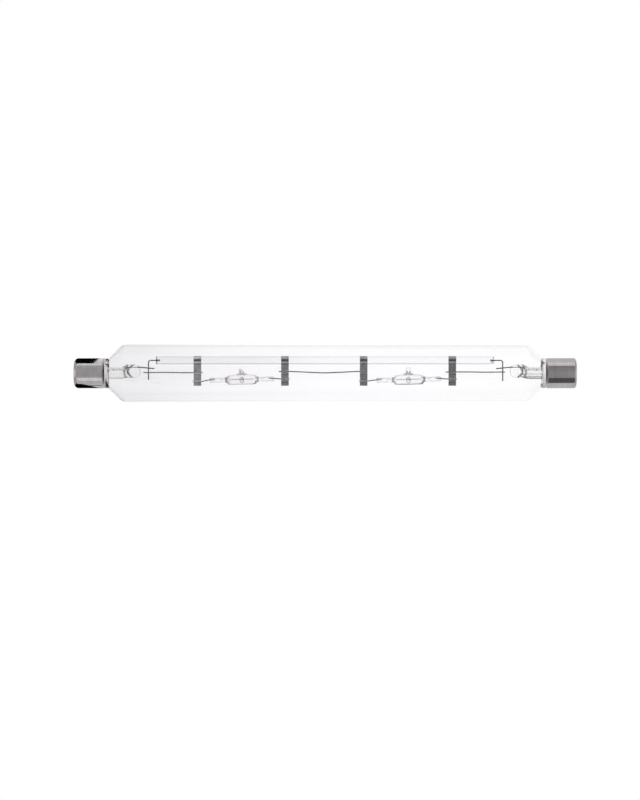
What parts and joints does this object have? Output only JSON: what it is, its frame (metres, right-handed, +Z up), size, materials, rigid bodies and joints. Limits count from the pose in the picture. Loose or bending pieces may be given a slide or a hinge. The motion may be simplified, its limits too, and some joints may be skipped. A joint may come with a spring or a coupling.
{
  "type": "double-ended halogen tube lamp",
  "caption": "Clear tubular festoon lamp with a metal cap at each end; quartz halogen capsules in series hang from a glass rod on folded metal straps.",
  "frame": {"origin": "middle of the lamp's axis, halfway between the two cap ends", "axes": "+X along the lamp out through the right cap, +Z up on the side of the glass rod, +Y away from the viewer of the picture"},
  "size_m": [0.31, 0.036, 0.036],
  "materials": {
    "clear_glass": "clear, smooth",
    "quartz": "clear, smooth",
    "cap_metal": "satin, drawn",
    "cap_cement": "matt, grainy",
    "solder": "dull",
    "wire": "drawn nickel, dull",
    "copper_wire": "dull",
    "strap_metal": "rolled strip, satin",
    "capsule_pin": "drawn, dull",
    "capsule_foil": "rolled, bright",
    "tungsten": "dull"
  },
  "bodies": {
    "root": {"glass_envelope": "clear_glass", "left_stem": "clear_glass", "right_stem": "clear_glass", "support_rod": "clear_glass", "left_capsule": "quartz", "right_capsule": "quartz", "left_cap": "cap_metal", "right_cap": "cap_metal", "left_cap_cement": "cap_cement", "right_cap_cement": "cap_cement", "left_cap_solder": "solder", "right_cap_solder": "solder", "left_lead_in": "wire", "right_lead_in": "wire", "left_hook_wire": "wire", "right_hook_wire": "wire", "left_link_wire": "wire", "centre_link_wire": "wire", "right_link_wire": "wire", "left_cap_lead": "copper_wire", "right_cap_lead": "copper_wire", "left_outer_strap": "strap_metal", "left_inner_strap": "strap_metal", "right_inner_strap": "strap_metal", "right_outer_strap": "strap_metal", "left_outer_pin": "capsule_pin", "left_inner_pin": "capsule_pin", "right_inner_pin": "capsule_pin", "right_outer_pin": "capsule_pin", "left_outer_foil": "capsule_foil", "left_inner_foil": "capsule_foil", "right_inner_foil": "capsule_foil", "right_outer_foil": "capsule_foil", "left_filament": "tungsten", "right_filament": "tungsten", "left_filament_support": "tungsten", "right_filament_support": "tungsten"}
  },
  "joints": []
}
